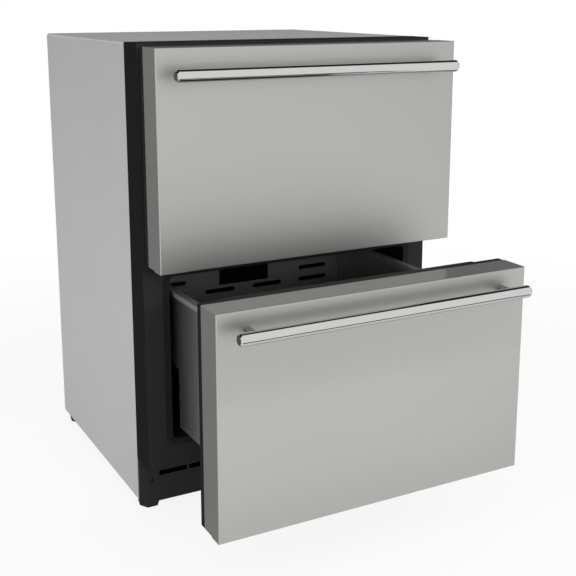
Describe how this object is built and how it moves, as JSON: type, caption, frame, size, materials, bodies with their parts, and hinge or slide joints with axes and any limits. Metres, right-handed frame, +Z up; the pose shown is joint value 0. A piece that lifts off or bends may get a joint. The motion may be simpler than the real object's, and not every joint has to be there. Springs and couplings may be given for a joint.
{
  "type": "undercounter drawer refrigerator",
  "caption": "Undercounter refrigerator with two steel-fronted drawers on telescopic runners, bar handles, a black front frame, a slotted toe grille and levelling feet.",
  "frame": {"origin": "on the floor under the middle of the box round the part, with the upper drawer shut and the lower one pulled out 223 mm", "axes": "+Z up, -Y towards the person in front of the drawers, +X to that person's right"},
  "size_m": [0.597, 0.905, 0.876],
  "materials": {
    "cabinet_steel": "light grey satin sheet steel",
    "galvanised_steel": "galvanised sheet with a faint spangle",
    "dark_slide_steel": "black passivated steel",
    "insulation_foam": "pale yellow closed-cell foam",
    "dark_liner": "dark grey satin plastic",
    "black_frame": "black satin",
    "black_toe_grille": "black powder coat",
    "black_panel": "black satin plastic",
    "front_steel": "fine horizontal brush",
    "handle_steel": "bright brushed steel",
    "gasket_rubber": "soft matt black vinyl",
    "tub_steel": "satin sheet steel",
    "tub_black": "charcoal powder coat",
    "foot_plastic": "matt black moulded plastic",
    "coil_aluminium": "bare aluminium",
    "black_painted_coil": "black painted fins and tubes",
    "compressor_paint": "black painted pressed steel",
    "mount_rubber": "matt black rubber",
    "copper_pipe": "drawn copper",
    "white_plastic": "white moulded plastic",
    "black_plastic": "black moulded plastic"
  },
  "bodies": {
    "cabinet": {"side_panel_left": "cabinet_steel", "side_panel_right": "cabinet_steel", "top_panel": "cabinet_steel", "back_panel": "galvanised_steel", "machine_cover": "galvanised_steel", "panel_screws": "cabinet_steel", "base_pan": "galvanised_steel", "foot_nuts": "galvanised_steel", "cabinet_foam": "insulation_foam", "inner_liner": "dark_liner", "front_frame": "black_frame", "opening_trims": "dark_liner", "toe_grille": "black_toe_grille", "control_panel": "black_panel", "led_bars": "white_plastic", "temperature_sensor": "white_plastic", "evaporator_cover": "dark_liner", "evaporator_coil": "coil_aluminium", "evaporator_fan_motor": "black_plastic", "compressor": "compressor_paint", "compressor_mounts": "mount_rubber", "condenser_coil": "black_painted_coil", "condenser_fan_motor": "galvanised_steel", "drain_pan": "dark_liner", "filter_drier": "copper_pipe", "refrigerant_pipes": "copper_pipe", "control_box": "white_plastic", "power_inlet": "black_panel", "upper_slide_outer": "galvanised_steel", "lower_slide_outer": "dark_slide_steel"},
    "upper_drawer": {"upper_slide_inner": "galvanised_steel", "upper_front_skin": "front_steel", "upper_front_foam": "insulation_foam", "upper_front_liner": "black_panel", "upper_gasket": "gasket_rubber", "upper_handle_bar": "handle_steel", "upper_handle_posts": "handle_steel", "upper_tub_side_left": "tub_steel", "upper_tub_side_right": "tub_steel", "upper_tub_floor": "tub_black", "upper_tub_back": "tub_black"},
    "lower_drawer": {"lower_slide_inner": "dark_slide_steel", "lower_front_skin": "front_steel", "lower_front_foam": "insulation_foam", "lower_front_liner": "black_panel", "lower_gasket": "gasket_rubber", "lower_handle_bar": "handle_steel", "lower_handle_posts": "handle_steel", "lower_tub_side_left": "tub_steel", "lower_tub_side_right": "tub_steel", "lower_tub_floor": "tub_black", "lower_tub_back": "tub_black"},
    "upper_middle": {"upper_slide_middle": "galvanised_steel"},
    "lower_middle": {"lower_slide_middle": "dark_slide_steel"},
    "evaporator_rotor": {"evaporator_fan": "white_plastic"},
    "condenser_rotor": {"condenser_fan": "black_plastic"},
    "levelling_foot_front_left": {"foot_front_left": "foot_plastic"},
    "levelling_foot_front_right": {"foot_front_right": "foot_plastic"},
    "levelling_foot_rear_left": {"foot_rear_left": "foot_plastic"},
    "levelling_foot_rear_right": {"foot_rear_right": "foot_plastic"}
  },
  "joints": [
    {"name": "upper_drawer_slide", "type": "slide", "parent": "cabinet", "child": "upper_drawer", "axis": [0, -1, 0], "range_m": [0, 0.4]},
    {"name": "upper_middle_slide", "type": "slide", "parent": "cabinet", "child": "upper_middle", "axis": [0, -1, 0], "range_m": [0, 0.2]},
    {"name": "lower_drawer_slide", "type": "slide", "parent": "cabinet", "child": "lower_drawer", "axis": [0, -1, 0], "range_m": [-0.2233, 0.1767]},
    {"name": "lower_middle_slide", "type": "slide", "parent": "cabinet", "child": "lower_middle", "axis": [0, -1, 0], "range_m": [-0.11165, 0.08835]},
    {"name": "evaporator_fan_spin", "type": "hinge", "parent": "cabinet", "child": "evaporator_rotor", "pos_m": [0, 0.38355, 0.504], "axis": [0, 1, 0], "continuous": true},
    {"name": "condenser_fan_spin", "type": "hinge", "parent": "cabinet", "child": "condenser_rotor", "pos_m": [-0.1645, 0.21295, 0.1165], "axis": [0, 1, 0], "continuous": true},
    {"name": "foot_front_left_height", "type": "slide", "parent": "cabinet", "child": "levelling_foot_front_left", "axis": [0, 0, -1], "range_m": [0, 0.02]},
    {"name": "foot_front_right_height", "type": "slide", "parent": "cabinet", "child": "levelling_foot_front_right", "axis": [0, 0, -1], "range_m": [0, 0.02]},
    {"name": "foot_rear_left_height", "type": "slide", "parent": "cabinet", "child": "levelling_foot_rear_left", "axis": [0, 0, -1], "range_m": [0, 0.02]},
    {"name": "foot_rear_right_height", "type": "slide", "parent": "cabinet", "child": "levelling_foot_rear_right", "axis": [0, 0, -1], "range_m": [0, 0.02]}
  ],
  "couplings": [
    {"joint": "upper_middle_slide", "follows": "upper_drawer_slide", "ratio": 0.5},
    {"joint": "lower_middle_slide", "follows": "lower_drawer_slide", "ratio": 0.5}
  ]
}
